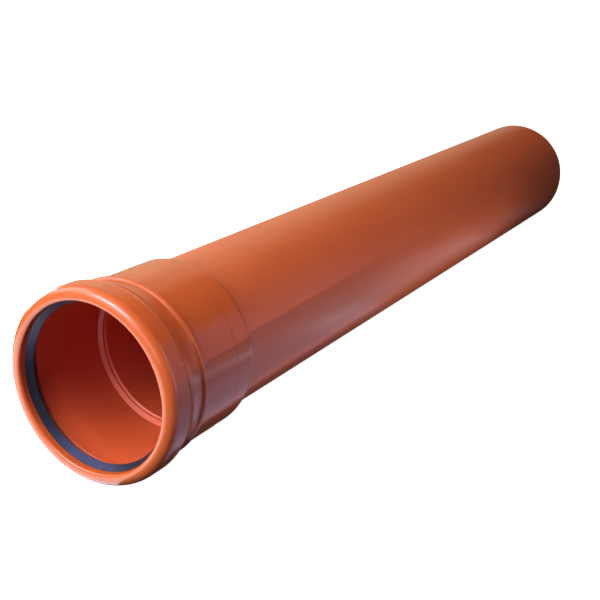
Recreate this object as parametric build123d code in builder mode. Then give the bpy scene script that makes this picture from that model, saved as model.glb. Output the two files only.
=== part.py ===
# Polypropylene drain pipe, nominal outside diameter 160, one metre of effective length.
# One end is a belled push-fit socket with a rubber lip seal, the other a chamfered spigot.
# Millimetres, +Z up. The pipe lies as it rests on a level floor: on the rear edge of the
# socket's bead and on the spigot end, so its axis dips slightly towards the spigot.
# The origin is on the floor under the middle of the whole length, and +X runs from the
# socket's mouth to the spigot end.

import os
from math import atan2, cos, sin, tan, radians

from build123d import *

# Barrel and spigot
pipe_radius = 80.0            # outside, half of the nominal 160
wall = 5.5
effective_length = 1000.0     # what one pipe adds to a laid line
chamfer_length = 10.0
chamfer_angle = 15.0

# Socket sleeve, measured along the axis from the plane of the mouth
spigot_clearance = 0.9        # all round between a spigot and the sleeve's bore
socket_wall = 5.5
stop_depth = 110.0            # how deep a spigot goes in before it meets the stop
seam_step = 0.3               # the sleeve is this much prouder than the root behind its seam
root_length = 26.4            # full-size root behind the seam, up to the shoulder's corner
shoulder_angle = 60.0
shoulder_round = 8.0
shoulder_fillet = 3.0

# Mouth and the bead over the seal chamber
mouth_clearance = 0.4         # all round between a spigot and the mouth
lip_thickness = 8.2
lip_inner_round = 3.2
lip_outer_round = 9.6
chamber_depth = 7.5           # deeper than the sleeve's bore
chamber_width = 13.5
chamber_back_run = 3.8        # axial run of the sloping wall behind the seal
chamber_back_rise = 6.1
lead_end = 50.0               # where the taper behind the seal meets the straight bore
bead_wall = 5.0
bead_length = 26.5
bead_step = 0.6

# Valley and stiffening ridge between the bead and the sleeve
valley_end = 51.0
valley_drop = 0.2             # the valley's floor is this much below the sleeve
ridge_start = 52.0
ridge_width = 8.0
ridge_rise = 4.0              # where the ridge's two flanks would meet, above the sleeve
ridge_crown = 4.0

# Stop at the root, in two steps
stop_face_run = 2.2
land_length = 2.0
land_step = 1.8               # radial step from the land to the barrel's bore
land_bevel_run = 1.8

# Lip seal, in section from its front face at the chamber's front wall
seal_gap = 0.2                # all round between the seal and its chamber
seal_neck = 3.4               # thickness of the seal's front wall along the axis
seal_body = 3.6               # thickness of its band against the chamber's outer wall
seal_lip_start = 0.4          # axial run before the lip leaves the front face
seal_lip_run = 6.4
seal_lip_reach = 4.2          # how far the lip stands inside a spigot's surface
seal_tip_thickness = 1.6

# Derived radii
bore_radius = pipe_radius - wall
sleeve_bore = pipe_radius + spigot_clearance
sleeve_radius = sleeve_bore + socket_wall
mouth_radius = pipe_radius + mouth_clearance
chamber_radius = sleeve_bore + chamber_depth
bead_radius = chamber_radius + bead_wall
mouth_face_radius = bead_radius - lip_outer_round
valley_radius = sleeve_radius - valley_drop
root_radius = sleeve_radius - seam_step
land_radius = bore_radius + land_step
end_radius = pipe_radius - chamfer_length * tan(radians(chamfer_angle))

# Derived places along the axis
total_length = stop_depth + effective_length
chamber_end = lip_thickness + chamber_width
chamber_back = chamber_end + chamber_back_run
ridge_middle = ridge_start + ridge_width / 2
ridge_end = ridge_start + ridge_width
shoulder_start = stop_depth + root_length
shoulder_end = shoulder_start + (root_radius - pipe_radius) / tan(radians(shoulder_angle))
land_start = stop_depth + stop_face_run
land_end = land_start + land_length
bore_start = land_end + land_bevel_run
chamfer_start = total_length - chamfer_length

# How the pipe rests: a straight floor touches the bead's rear edge and the spigot's edge
rest_tilt = atan2(bead_radius - pipe_radius, chamfer_start - bead_length)
mouth_height = bead_length * sin(rest_tilt) + bead_radius * cos(rest_tilt)
front_reach = mouth_face_radius * sin(rest_tilt) + lip_outer_round * (1 - cos(rest_tilt))
back_reach = total_length * cos(rest_tilt) + end_radius * sin(rest_tilt)
mouth_x = (front_reach - back_reach) / 2

# Sections are drawn on this upright plane through the axis: local x runs along the pipe
# from the plane of the mouth, local y is the radius
lying = Plane(
    origin=(mouth_x, 0, mouth_height),
    x_dir=(cos(rest_tilt), 0, -sin(rest_tilt)),
    z_dir=(0, -1, 0),
)
pipe_axis = Axis(lying.origin, lying.x_dir)

# The pipe with its socket is one turned wall. The outline starts on the mouth's face, goes
# over the nose, the bead, the valley and the ridge, along the sleeve and the root to the
# barrel and its chamfer, and comes back along the bore, the stop, the sleeve's bore and the
# seal chamber
with BuildPart() as pipe:
    with BuildSketch(lying) as pipe_section:
        with BuildLine():
            face = Line((0, mouth_radius + lip_inner_round), (0, mouth_face_radius))
            nose = TangentArc(face @ 1, (lip_outer_round, bead_radius), tangent=(0, 1))
            bead = Line(nose @ 1, (bead_length, bead_radius))
            step = Line(bead @ 1, (bead_length, bead_radius - bead_step))
            valley = TangentArc((valley_end, valley_radius), step @ 1, tangent=(-1, 0))
            outside = FilletPolyline(
                valley @ 0,
                (ridge_start, valley_radius),
                (ridge_middle, sleeve_radius + ridge_rise),
                (ridge_end, sleeve_radius),
                (stop_depth, sleeve_radius),
                (stop_depth, root_radius),
                (shoulder_start, root_radius),
                (shoulder_end, pipe_radius),
                (chamfer_start, pipe_radius),
                radius=[0, ridge_crown, 0, 0, 0, shoulder_round, shoulder_fillet],
            )
            chamfer = Line(outside @ 1, (total_length, end_radius))
            end_face = Line(chamfer @ 1, (total_length, bore_radius))
            inside = Polyline(
                end_face @ 1,
                (bore_start, bore_radius),
                (land_end, land_radius),
                (land_start, land_radius),
                (stop_depth, sleeve_bore),
                (lead_end, sleeve_bore),
                (chamber_back, chamber_radius - chamber_back_rise),
                (chamber_end, chamber_radius),
                (lip_thickness, chamber_radius),
                (lip_thickness, mouth_radius),
                (lip_inner_round, mouth_radius),
            )
            TangentArc(inside @ 1, face @ 0, tangent=(-1, 0))
        make_face()
    revolve(axis=pipe_axis)
pipe.part.label = "pipe"

# The seal: a band against the chamber's outer wall, a front wall, and a lip that leans
# inwards and away from the mouth, so that an entering spigot bends it open
seal_front = lip_thickness + seal_gap
seal_back = chamber_end - seal_gap
seal_outer = chamber_radius - seal_gap
band_inner = seal_outer - seal_body
lip_root = seal_front + seal_lip_start
lip_tip = lip_root + seal_lip_run
tip_radius = pipe_radius - seal_lip_reach
lip_slope = atan2(mouth_radius - tip_radius, seal_lip_run)

with BuildPart() as seal_ring:
    with BuildSketch(lying) as seal_section:
        with BuildLine():
            Polyline(
                (seal_front, seal_outer),
                (seal_back, seal_outer),
                (seal_back, band_inner),
                (seal_front + seal_neck, band_inner),
                (
                    lip_tip + seal_tip_thickness * sin(lip_slope),
                    tip_radius + seal_tip_thickness * cos(lip_slope),
                ),
                (lip_tip, tip_radius),
                (lip_root, mouth_radius),
                (seal_front, mouth_radius),
                close=True,
            )
        make_face()
    revolve(axis=pipe_axis)
seal_ring.part.label = "seal_ring"

os.makedirs("parts", exist_ok=True)
export_step(pipe.part, "parts/pipe.step")
export_step(seal_ring.part, "parts/seal_ring.step")
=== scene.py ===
from math import atan2, ceil, cos, degrees, pi, radians, sin, tan

import bmesh
import bpy
from mathutils import Matrix, Vector


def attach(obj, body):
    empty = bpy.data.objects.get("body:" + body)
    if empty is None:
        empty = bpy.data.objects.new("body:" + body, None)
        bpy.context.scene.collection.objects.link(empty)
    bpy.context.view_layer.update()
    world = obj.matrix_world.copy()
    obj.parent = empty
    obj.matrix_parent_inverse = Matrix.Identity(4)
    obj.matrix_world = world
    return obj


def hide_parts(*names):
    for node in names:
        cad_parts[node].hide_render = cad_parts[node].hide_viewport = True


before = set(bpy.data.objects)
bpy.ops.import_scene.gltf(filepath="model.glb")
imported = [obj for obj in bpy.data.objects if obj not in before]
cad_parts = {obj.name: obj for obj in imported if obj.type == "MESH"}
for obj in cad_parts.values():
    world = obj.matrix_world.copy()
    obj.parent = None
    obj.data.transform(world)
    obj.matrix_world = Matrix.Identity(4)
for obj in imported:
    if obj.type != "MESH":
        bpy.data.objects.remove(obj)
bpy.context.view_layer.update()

mm = 0.001
largeRound = 2.0  # in mm; rounds above this are drawn more finely
largeRoundStep = radians(9)  # the turn that one facet of a round takes
smallRoundStep = radians(24)
mergeDistance = 1e-6
noiseRange = (0.3, 0.7)  # nearly all of a noise texture lies between these


def srgb(hexValue):  # an sRGB hex value such as "C8602E" to Blender's linear colour
    parts = [int(hexValue[i:i + 2], 16) / 255 for i in (0, 2, 4)]
    return [c / 12.92 if c <= 0.04045 else ((c + 0.055) / 1.055) ** 2.4 for c in parts] + [1]


def addNode(tree, kind, settings={}, **sockets):  # one node; i0, i1 and so on name a socket by its number
    node = tree.nodes.new(kind)
    for name, value in settings.items():
        setattr(node, name, value)
    for name, value in sockets.items():
        byNumber = name[0] == "i" and name[1:].isdigit()
        socket = node.inputs[int(name[1:]) if byNumber else name.replace("_", " ")]
        if isinstance(value, bpy.types.NodeSocket):
            tree.links.new(value, socket)
        else:
            socket.default_value = value
    return node


def drawSection(bm, corners):  # a closed wire; corners are (along the axis, radius, rounding) in mm
    spots = [Vector((along, 0, radius)) * mm for along, radius, _ in corners]
    tip = start = None
    for i, (_, _, rounding) in enumerate(corners):
        towards = (spots[i] - spots[i - 1]).normalized()
        onwards = (spots[(i + 1) % len(spots)] - spots[i]).normalized()
        turn = towards.angle(onwards)
        arcStart = spots[i] - towards * rounding * mm * tan(turn / 2)
        if tip is None:
            tip = start = bm.verts.new(arcStart)
        else:
            tip = bmesh.ops.extrude_vert_indiv(bm, verts=[tip])["verts"][0]
            tip.co = arcStart
        if rounding:
            hinge = towards.cross(onwards).normalized()
            facetTurn = largeRoundStep if rounding > largeRound else smallRoundStep
            arc = bmesh.ops.spin(bm, geom=[tip], cent=arcStart + hinge.cross(towards) * rounding * mm,
                                 axis=hinge, angle=turn, steps=max(2, ceil(turn / facetTurn)))
            tip = arc["geom_last"][0]
    bm.edges.new((tip, start))


def turnPiece(name, corners, steps, place, material):  # spins a section round the axis and lays it down
    bm = bmesh.new()
    drawSection(bm, list(corners.values()))
    bmesh.ops.spin(bm, geom=bm.verts[:] + bm.edges[:], cent=(0, 0, 0), axis=(1, 0, 0), angle=2 * pi,
                   steps=steps, use_merge=True)
    bmesh.ops.remove_doubles(bm, verts=bm.verts, dist=mergeDistance)
    bmesh.ops.recalc_face_normals(bm, faces=bm.faces)
    bmesh.ops.transform(bm, matrix=place, verts=bm.verts)
    for face in bm.faces:
        face.smooth = True
    mesh = bpy.data.meshes.new(name)
    bm.to_mesh(mesh)
    bm.free()
    piece = bpy.data.objects.new(name, mesh)
    bpy.context.scene.collection.objects.link(piece)
    mesh.materials.append(material)
    weighted = piece.modifiers.new("faceWeightedNormals", "WEIGHTED_NORMAL")  # keeps flats looking flat
    weighted.weight = 100
    weighted.keep_sharp = False
    return piece


pipeSizes = {  # in mm, as in the part's source
    "pipeRadius": 80.0, "boreRadius": 74.5, "length": 1110.0, "chamferLength": 10.0, "endRadius": 77.32,
    "beadRadius": 93.4, "beadLength": 26.5, "noseRound": 9.6, "innerRound": 3.2, "mouthRadius": 80.4,
    "chamberRadius": 88.4, "lipThickness": 8.2, "chamberEnd": 21.7, "sleeveRadius": 86.4,
    "sleeveBore": 80.9, "valleyRadius": 86.2, "rootRadius": 86.1, "stopDepth": 110.0, "landRadius": 76.3,
    "facets": 256,  # round the axis
}
size = pipeSizes

# The pipe rests on the rear edge of the bead and on the spigot's end, so its axis dips a little
barrelEnd = size["length"] - size["chamferLength"]
restTilt = atan2(size["beadRadius"] - size["pipeRadius"], barrelEnd - size["beadLength"])
mouthHeight = size["beadLength"] * sin(restTilt) + size["beadRadius"] * cos(restTilt)
noseCentre = size["beadRadius"] - size["noseRound"]
frontReach = noseCentre * sin(restTilt) + size["noseRound"] * (1 - cos(restTilt))
backReach = size["length"] * cos(restTilt) + size["endRadius"] * sin(restTilt)
mouthX = (frontReach - backReach) / 2
lying = Matrix.Translation(Vector((mouthX, 0, mouthHeight)) * mm) @ Matrix.Rotation(restTilt, 4, "Y")
print("stage: sizes, tilt in degrees", degrees(restTilt))


def pipeCoordinates(tree):  # object coordinates with X down the pipe from the mouth, in metres
    where = addNode(tree, "ShaderNodeTexCoord").outputs["Object"]
    shifted = addNode(tree, "ShaderNodeMapping", {"vector_type": "TEXTURE"}, Vector=where,
                      Location=(mouthX * mm, 0, mouthHeight * mm), Rotation=(0, restTilt, 0))
    return shifted.outputs["Vector"]


def noise(tree, where, grain, stretch=1.0, detail=2.0):  # the grain is in mm, drawn out along the pipe
    squeezed = addNode(tree, "ShaderNodeVectorMath", {"operation": "MULTIPLY"}, i0=where,
                       i1=(1 / stretch, 1, 1))
    speckled = addNode(tree, "ShaderNodeTexNoise", Vector=squeezed.outputs["Vector"],
                       Scale=1 / (grain * mm), Detail=detail)
    return speckled.outputs["Fac"]


def ramp(tree, value, low, high, toLow=0.0, toHigh=1.0):  # a smooth step from one value to another
    return addNode(tree, "ShaderNodeMapRange", {"interpolation_type": "SMOOTHSTEP"}, Value=value,
                   From_Min=low, From_Max=high, To_Min=toLow, To_Max=toHigh).outputs["Result"]


def times(tree, one, other):
    return addNode(tree, "ShaderNodeMath", {"operation": "MULTIPLY"}, i0=one, i1=other).outputs["Value"]


def plus(tree, one, other):
    return addNode(tree, "ShaderNodeMath", {"operation": "ADD"}, i0=one, i1=other).outputs["Value"]


def blend(tree, share, one, other):  # each colour is a hex value or a socket
    colours = [srgb(c) if isinstance(c, str) else c for c in (one, other)]
    mixed = addNode(tree, "ShaderNodeMix", {"data_type": "RGBA"}, i0=share, i6=colours[0], i7=colours[1])
    return mixed.outputs[2]


def startMaterial(name):
    material = bpy.data.materials.new(name)
    material.use_nodes = True
    material.node_tree.nodes.clear()
    return material, material.node_tree


# Solid-coloured polypropylene, extruded, with one end heated and pressed over a polished former. The
# barrel keeps the sizing die's dull satin with fine lines along it, and the belled socket is glossy and
# deeper in colour. The barrel's paler colour is partly its own and partly a painted sheen for its satin's
# haze
polypropyleneLook = {  # in mm, places measured along the axis from the mouth; a stretch is a ratio
    "socket": "C85A2C", "barrel": "CE6033", "inside": "CE5530",
    "roughSocket": 0.2, "roughInside": 0.36, "roughBarrel": 0.43, "ior": 1.49,
    "satinFrom": 128.0, "satinTo": 150.0,  # where the socket's gloss gives way to the barrel's satin
    "insideFrom": 10.0, "insideTo": 16.0,  # where the nose's colour gives way to the bore's deeper red, a painted shade
    "stopFrom": 112.0, "stopTo": 118.0, "midSocketWall": 83.6, "midBarrelWall": 77.5,
    "cloud": "BE4A22", "cloudSize": 70.0, "cloudStretch": 2.0,  # slow changes of pigment and cooling
    "cloudEdge": (0.4, 0.7), "cloudShare": 0.22,
    "dieLine": 1.6, "dieLineStretch": 60.0,  # really about 0.4 mm apart, drawn coarser to show
    "dieLineDepth": 0.006, "dieLineRough": 0.02,
    "peel": 7.0, "peelDepth": 0.006,  # the faint waviness of a surface that cooled freely
    "scuff": "E2936F", "scuffWidth": 3.0, "scuffStretch": 12.0, "scuffEdge": (0.66, 0.74),
    "scuffShare": 0.06, "scuffRough": 0.12,
    "patch": 60.0, "patchEdge": (0.5, 0.62),  # scuffs come in patches, where pipes rubbed in the stack
    "speck": "F3D7C8", "speckSpacing": 30.0, "speckRadius": 0.45, "speckBlur": 0.3,  # dust and small nicks
    "partingAngle": 105.0, "partingWidth": 0.5, "partingShare": 0.25,  # where the former's two halves met
    "partingStart": (62.0, 68.0), "partingEnd": (134.0, 138.0), "partingSide": 10.0,
}


def partingLine(tree, where, along, look):  # 1 on a thin line down one side of the sleeve, 0 elsewhere
    turned = addNode(tree, "ShaderNodeMapping", {"vector_type": "TEXTURE"}, Vector=where,
                     Rotation=(radians(90 + look["partingAngle"]), 0, 0))
    fromLine = addNode(tree, "ShaderNodeSeparateXYZ", Vector=turned.outputs["Vector"])
    beside = addNode(tree, "ShaderNodeMath", {"operation": "ABSOLUTE"}, i0=fromLine.outputs["Z"])
    thin = ramp(tree, beside.outputs["Value"], look["partingWidth"] * mm, 0.0)
    oneSide = ramp(tree, fromLine.outputs["Y"], 0.0, look["partingSide"] * mm)
    starting = ramp(tree, along, look["partingStart"][0] * mm, look["partingStart"][1] * mm)
    ending = ramp(tree, along, look["partingEnd"][1] * mm, look["partingEnd"][0] * mm)
    return times(tree, times(tree, times(tree, thin, oneSide), starting), ending)


def insideShare(tree, where, along, look):  # 1 on the bore and the inside of the socket, 0 outside; it places the bore's painted shade and its duller gloss
    across = addNode(tree, "ShaderNodeVectorMath", {"operation": "MULTIPLY"}, i0=where, i1=(0, 1, 1))
    radius = addNode(tree, "ShaderNodeVectorMath", {"operation": "LENGTH"}, i0=across.outputs["Vector"])
    midWall = ramp(tree, along, look["stopFrom"] * mm, look["stopTo"] * mm,
                   look["midSocketWall"] * mm, look["midBarrelWall"] * mm)
    within = addNode(tree, "ShaderNodeMath", {"operation": "LESS_THAN"}, i0=radius.outputs["Value"],
                     i1=midWall)
    pastNose = ramp(tree, along, look["insideFrom"] * mm, look["insideTo"] * mm)
    return times(tree, within.outputs["Value"], pastNose)


def makePolypropylene():
    look = polypropyleneLook
    material, tree = startMaterial("orangePolypropyleneExtrudedAndBelled")
    where = pipeCoordinates(tree)
    along = addNode(tree, "ShaderNodeSeparateXYZ", Vector=where).outputs["X"]
    barrel = ramp(tree, along, look["satinFrom"] * mm, look["satinTo"] * mm)  # 0 on the socket
    clouds = ramp(tree, noise(tree, where, look["cloudSize"], look["cloudStretch"]), *look["cloudEdge"],
                  0.0, look["cloudShare"])
    lines = noise(tree, where, look["dieLine"], look["dieLineStretch"], detail=1.0)
    peel = noise(tree, where, look["peel"], detail=1.0)
    scuffs = noise(tree, where, look["scuffWidth"], look["scuffStretch"], detail=3.0)
    scuffs = ramp(tree, scuffs, *look["scuffEdge"])
    scuffs = times(tree, scuffs, ramp(tree, noise(tree, where, look["patch"]), *look["patchEdge"]))
    dots = addNode(tree, "ShaderNodeTexVoronoi", Vector=where, Scale=1 / (look["speckSpacing"] * mm))
    reach = look["speckRadius"] / look["speckSpacing"]
    specks = ramp(tree, dots.outputs["Distance"], reach * (1 + look["speckBlur"]),
                  reach * (1 - look["speckBlur"]))
    parting = partingLine(tree, where, along, look)
    inside = insideShare(tree, where, along, look)

    # the barrel's paler colour is partly a painted sheen, standing in for the haze its satin reflects
    colour = blend(tree, barrel, look["socket"], look["barrel"])
    # painted shade: the bore and the socket's inside get a deeper red copy of the polypropylene for the
    # crimson of their shade and bounced light
    colour = blend(tree, inside, colour, look["inside"])
    colour = blend(tree, clouds, colour, look["cloud"])
    colour = blend(tree, times(tree, scuffs, look["scuffShare"]), colour, look["scuff"])
    colour = blend(tree, times(tree, parting, look["partingShare"]), colour, look["cloud"])
    colour = blend(tree, specks, colour, look["speck"])

    dullness = plus(tree, times(tree, inside, look["roughInside"] - look["roughSocket"]),
                    look["roughSocket"])
    dullness = ramp(tree, barrel, 0.0, 1.0, dullness, look["roughBarrel"])
    dullness = plus(tree, dullness, times(tree, scuffs, look["scuffRough"]))
    dullness = plus(tree, dullness, ramp(tree, lines, *noiseRange, -look["dieLineRough"],
                                         look["dieLineRough"]))

    height = plus(tree, times(tree, times(tree, lines, barrel), look["dieLineDepth"]),
                  times(tree, peel, look["peelDepth"]))
    relief = addNode(tree, "ShaderNodeBump", Strength=1.0, Distance=mm, Height=height)
    shader = addNode(tree, "ShaderNodeBsdfPrincipled", Base_Color=colour, IOR=look["ior"],
                     Roughness=dullness, Normal=relief.outputs["Normal"])
    addNode(tree, "ShaderNodeOutputMaterial", Surface=shader.outputs[0])
    return material


# Black EPDM rubber, moulded, wiped with a silicone slip film that gives it a cool blue-grey sheen
rubberLook = {
    "body": "17171C", "sheenTint": "A4ACE8", "sheen": 0.7,
    "roughLow": 0.33, "roughHigh": 0.46, "ior": 1.52,
    "grain": 0.9, "grainDepth": 0.03,  # the mould's grain is about 0.1 mm, drawn coarser to show
    "bloom": "3A3A46", "bloomSize": 9.0, "bloomEdge": (0.45, 0.75),  # patches where the film dried
    "bloomShare": 0.25,
}


def makeRubber():
    look = rubberLook
    material, tree = startMaterial("blackRubberMoulded")
    where = pipeCoordinates(tree)
    bloom = ramp(tree, noise(tree, where, look["bloomSize"], detail=3.0), *look["bloomEdge"],
                 0.0, look["bloomShare"])
    grain = noise(tree, where, look["grain"])
    relief = addNode(tree, "ShaderNodeBump", Strength=1.0, Distance=look["grainDepth"] * mm, Height=grain)
    shader = addNode(tree, "ShaderNodeBsdfPrincipled", IOR=look["ior"], Normal=relief.outputs["Normal"],
                     Base_Color=blend(tree, bloom, look["body"], look["bloom"]),
                     Roughness=ramp(tree, grain, *noiseRange, look["roughLow"], look["roughHigh"]),
                     Specular_IOR_Level=look["sheen"], Specular_Tint=srgb(look["sheenTint"]))
    addNode(tree, "ShaderNodeOutputMaterial", Surface=shader.outputs[0])
    return material


polypropylene = makePolypropylene()
rubber = makeRubber()
print("stage: materials")

# Each corner is its place along the axis from the mouth, its radius and its rounding, in mm. The
# former's joints leave fine grooves beside the bead, behind the ridge and at the sleeve's seam
pipeCorners = {
    "mouthEdge": (0, size["mouthRadius"], size["innerRound"]),
    "nose": (0, size["beadRadius"], size["noseRound"]),
    "beadGrooveFront": (25.3, size["beadRadius"], 0.2),
    "beadGrooveFloor": (25.7, 93.0, 0.1),
    "beadFlashFront": (26.05, 93.36, 0.1),
    "beadFlashBack": (size["beadLength"], 93.3, 0.1),
    "beadStep": (size["beadLength"], 92.8, 0.15),
    "hollowFront": (32.2, 89.35, 46.0),
    "hollowBack": (44.5, 86.2, 46.0),
    "ridgeFoot": (52.0, size["valleyRadius"], 1.2),
    "ridgeCrown": (56.0, 90.4, 4.0),
    "ridgeGroove": (60.15, 86.15, 0.3),
    "sleeveFront": (60.8, size["sleeveRadius"], 0.2),
    "sleeveBack": (109.4, size["sleeveRadius"], 0.15),
    "seamFloor": (109.8, 86.0, 0.1),
    "seamFlash": (110.2, 86.35, 0.1),
    "rootFront": (110.7, size["rootRadius"], 0.12),
    "shoulderTop": (136.4, size["rootRadius"], 8.0),
    "shoulderFoot": (139.92, size["pipeRadius"], 3.0),
    "chamferStart": (barrelEnd, size["pipeRadius"], 0.6),
    "spigotEdge": (size["length"], size["endRadius"], 0.3),
    "spigotBore": (size["length"], size["boreRadius"], 0.3),
    "boreStart": (116.0, size["boreRadius"], 0.6),
    "landBack": (114.2, size["landRadius"], 0.4),
    "landFront": (112.2, size["landRadius"], 0.5),
    "stop": (size["stopDepth"], size["sleeveBore"], 0.8),
    "taperEnd": (50.0, size["sleeveBore"], 2.0),
    "taperStart": (25.5, 82.3, 0.6),
    "chamberBack": (size["chamberEnd"], size["chamberRadius"], 0.6),
    "chamberFront": (size["lipThickness"], size["chamberRadius"], 0.6),
    "mouthBack": (size["lipThickness"], size["mouthRadius"], 0.3),
}
pipe = turnPiece("pipe_turned", pipeCorners, size["facets"], lying, polypropylene)
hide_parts("pipe")
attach(pipe, "root")
print("stage: pipe", len(pipe.data.vertices), "vertices")

# The ring's base fills the chamber but for a small gap, and its lip slopes in and back
sealSizes = {"gap": 0.2, "baseBore": 84.6, "facets": 192}
baseFront = size["lipThickness"] + sealSizes["gap"]
baseBack = size["chamberEnd"] - sealSizes["gap"]
baseRadius = size["chamberRadius"] - sealSizes["gap"]
sealCorners = {
    "baseFront": (baseFront, baseRadius, 0.5),
    "baseBack": (baseBack, baseRadius, 0.5),
    "baseBackInner": (baseBack, sealSizes["baseBore"], 0.4),
    "lipRoot": (11.8, sealSizes["baseBore"], 1.0),
    "lipTipOuter": (16.12, 76.73, 0.6),
    "lipTipInner": (15.2, 75.8, 0.5),
    "lipShoulder": (8.8, size["mouthRadius"], 0.6),
    "lipFront": (baseFront, size["mouthRadius"], 0.3),
}
seal = turnPiece("lip_seal", sealCorners, sealSizes["facets"], lying, rubber)
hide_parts("seal_ring")
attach(seal, "root")
print("stage: lip seal", len(seal.data.vertices), "vertices")

# Each lamp's brightness and tint were fitted to the photograph's tones, then corrected
studio = {
    "floorSize": 60.0, "wallRadius": 29.4, "wallHeight": 30.0, "wallFacets": 64,
    "floorColour": "F4F4F4", "floorGlow": 1.0, "floorRoughness": 0.9, "worldStrength": 0.03,
    # each lamp: centre, what it faces, width, height, brightness (radiance), tint
    "fills": {  # light the pipe, and are kept out of its reflections
        "keyFill": ((-1.57, 0.28, 1.21), (-0.45, 0.0, 0.1), 0.8, 0.45, 15.0, (0.93, 1.0, 0.84)),
        "highFill": ((-1.09, 0.17, 1.58), (-0.45, 0.0, 0.1), 0.8, 0.6, 7.86, (1.0, 0.95, 0.75)),
        "frontFill": ((-1.93, 0.26, 0.71), (-0.45, 0.0, 0.1), 0.9, 0.5, 16.3, (0.78, 0.91, 1.0)),
        "lowFill": ((-1.83, 0.8, 0.24), (-0.45, 0.0, 0.1), 1.0, 0.3, 7.2, (0.78, 0.89, 1.0)),
        "coolFill": ((-1.6, -0.5, 0.6), (-0.5, 0.0, 0.1), 1.0, 1.0, 1.6, (0.0, 0.09, 1.0)),
        "leftFill": ((0.26, 0.66, 1.49), (-0.2, 0.0, 0.1), 0.9, 0.7, 4.0, (1.0, 0.92, 0.8)),
        "tableFillRight": ((-0.2, -0.8, -0.01), (-0.2, -0.8, 1.0), 0.5, 0.4, 12.3, (1.0, 0.71, 0.89)),
        "tableFillNear": ((-0.3, -0.35, -0.01), (-0.3, -0.35, 1.0), 0.4, 0.45, 2.61, (0.57, 0.67, 1.0)),
        "tableFillMiddle": ((0.1, -0.35, -0.01), (0.1, -0.35, 1.0), 0.4, 0.45, 1.45, (1.0, 0.94, 0.71)),
    },
    "reflected": {  # the softbox and its glow, white cards and the table, as the gloss shows them
        "keySoftbox": ((-1.53, 0.33, 1.23), (-0.45, 0.0, 0.1), 0.75, 0.2, 28.8, (0.66, 0.66, 1.0)),
        "keyGlowInner": ((-1.56, 0.36, 1.26), (-0.45, 0.0, 0.1), 1.15, 0.75, 5.18, (0.73, 0.73, 1.0)),
        "keyGlowOuter": ((-1.6, 0.38, 1.3), (-0.45, 0.0, 0.1), 2.0, 1.5, 1.88, (0.88, 0.88, 1.0)),
        "highGlow": ((-1.09, 0.17, 1.58), (-0.45, 0.0, 0.1), 0.8, 0.6, 3.34, (1.0, 1.0, 0.68)),
        "sideGlow": ((-0.77, 1.3, 1.22), (-0.45, 0.0, 0.1), 1.0, 1.1, 4.2, (0.82, 0.82, 1.0)),
        "leftGlow": ((0.26, 0.66, 1.49), (-0.2, 0.0, 0.1), 0.9, 0.7, 2.52, (1.0, 1.0, 0.83)),
        "lowFront": ((-1.83, 0.8, 0.24), (-0.45, 0.0, 0.1), 1.0, 0.3, 4.2, (0.9, 0.9, 1.0)),
        "lowFrontRight": ((-1.81, -0.64, 0.65), (-0.45, 0.0, 0.1), 0.6, 0.5, 2.79, (1.0, 1.0, 0.77)),
        "leftLow": ((-0.06, 1.57, 0.38), (-0.2, 0.0, 0.1), 0.7, 0.5, 22.4, (0.94, 0.94, 1.0)),
        "backdrop": ((2.2, 1.9, 0.75), (0.0, 0.0, 0.15), 3.0, 1.6, 0.614, (1.0, 1.0, 0.66)),
        "skyGlow": ((0.7, 0.66, 0.99), (-0.45, 0.0, 0.1), 0.9, 0.6, 0.6, (0.75, 1.0, 0.75)),
        "rightCard": ((0.0, -1.0, 0.42), (0.0, 0.0, 0.42), 0.5, 0.86, 1.95, (0.6, 0.67, 1.0)),
        "rightCardMiddle": ((0.48, -1.0, 0.5), (0.48, 0.0, 0.5), 0.44, 1.0, 0.552, (0.45, 0.53, 1.0)),
        "rightCardFar": ((1.0, -1.0, 0.4), (1.0, 0.0, 0.4), 0.6, 0.8, 0.576, (0.69, 0.76, 1.0)),
        "tableNear": ((-0.28, -0.33, -0.01), (-0.28, -0.33, 1.0), 0.5, 0.5, 0.85, (0.53, 0.65, 1.0)),
        "tableMiddle": ((0.1, -0.5, -0.01), (0.1, -0.5, 1.0), 0.5, 0.8, 0.884, (0.81, 0.81, 1.0)),
        "tableFront": ((-0.9, 0.34, -0.01), (-0.9, 0.34, 1.0), 0.7, 0.72, 3.8, (1.0, 0.95, 0.97)),
        "tableFar": ((0.43, -0.4, -0.01), (0.43, -0.4, 1.0), 0.3, 0.6, 0.25, (0.8, 0.84, 1.0)),
        "tableLeft": ((0.3, 0.55, -0.01), (0.3, 0.55, 1.0), 0.8, 0.5, 3.5, (1.0, 1.0, 1.0)),
    },
}


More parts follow.
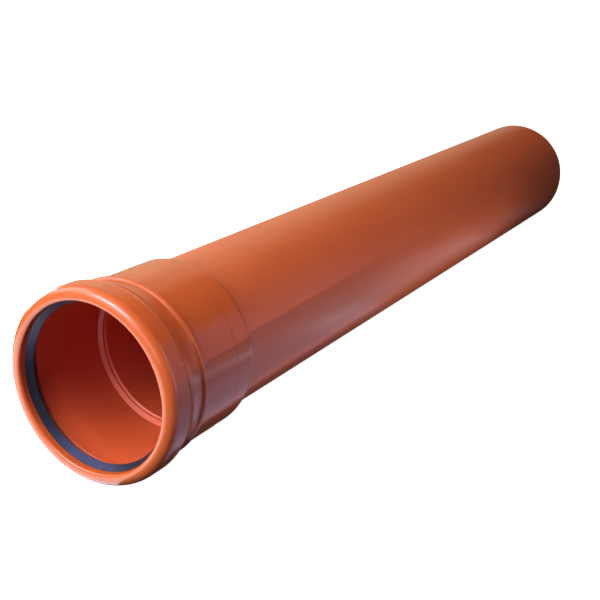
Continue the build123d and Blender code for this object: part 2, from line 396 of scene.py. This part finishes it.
def addFloor():  # a pale floor and, far off, a round pale wall, seen by the camera alone
    bm = bmesh.new()
    bmesh.ops.create_grid(bm, x_segments=1, y_segments=1, size=studio["floorSize"] / 2)
    bmesh.ops.create_cone(bm, cap_ends=False, segments=studio["wallFacets"], radius1=studio["wallRadius"],
                          radius2=studio["wallRadius"], depth=studio["wallHeight"],
                          matrix=Matrix.Translation((0, 0, studio["wallHeight"] / 2)))
    mesh = bpy.data.meshes.new("floor")
    bm.to_mesh(mesh)
    bm.free()
    floor = bpy.data.objects.new("floor", mesh)
    bpy.context.scene.collection.objects.link(floor)
    material = bpy.data.materials.new("paleStudioFloor")
    material.use_nodes = True
    shader = material.node_tree.nodes["Principled BSDF"]
    shader.inputs["Base Color"].default_value = srgb(studio["floorColour"])
    shader.inputs["Roughness"].default_value = studio["floorRoughness"]
    shader.inputs["Specular IOR Level"].default_value = 0.0
    shader.inputs["Emission Color"].default_value = (1, 1, 1, 1)
    shader.inputs["Emission Strength"].default_value = studio["floorGlow"]
    mesh.materials.append(material)
    floor.visible_diffuse = False
    floor.visible_glossy = False
    floor.visible_shadow = False


def addLamp(name, reflects, centre, facing, width, height, brightness, tint):
    data = bpy.data.lights.new(name, "AREA")
    data.shape = "RECTANGLE"
    data.size = width
    data.size_y = height
    data.energy = brightness * pi * width * height  # so that a lamp of another size keeps its brightness
    data.color = tint
    lamp = bpy.data.objects.new(name, data)
    lamp.location = centre
    lamp.rotation_euler = (Vector(facing) - Vector(centre)).to_track_quat("-Z", "Y").to_euler()
    lamp.visible_camera = False
    lamp.visible_glossy = reflects
    lamp.visible_diffuse = not reflects
    bpy.context.scene.collection.objects.link(lamp)


addFloor()
for lampName, lampValues in studio["fills"].items():
    addLamp(lampName, False, *lampValues)
for lampName, lampValues in studio["reflected"].items():
    addLamp(lampName, True, *lampValues)
world = bpy.data.worlds.new("dimStudio")
world.use_nodes = True
world.node_tree.nodes["Background"].inputs["Color"].default_value = (1, 1, 1, 1)
world.node_tree.nodes["Background"].inputs["Strength"].default_value = studio["worldStrength"]
bpy.context.scene.world = world
bpy.context.scene.view_settings.view_transform = "Standard"

cameraValues = {  # pitch and heading in degrees, heading measured from +X
    "place": (-1.20775, -0.59589, 0.47575), "pitch": -19.067, "heading": 30.21,
    "lens": 64.609, "sensorWidth": 36, "clipEnd": 200,
}
camera = bpy.data.objects.new("camera", bpy.data.cameras.new("camera"))
camera.data.sensor_width = cameraValues["sensorWidth"]
camera.data.lens = cameraValues["lens"]
camera.data.clip_end = cameraValues["clipEnd"]
camera.location = cameraValues["place"]
camera.rotation_euler = (radians(90 + cameraValues["pitch"]), 0, radians(cameraValues["heading"] - 90))
bpy.context.scene.collection.objects.link(camera)
bpy.context.scene.camera = camera
print("stage: floor, lamps and camera")
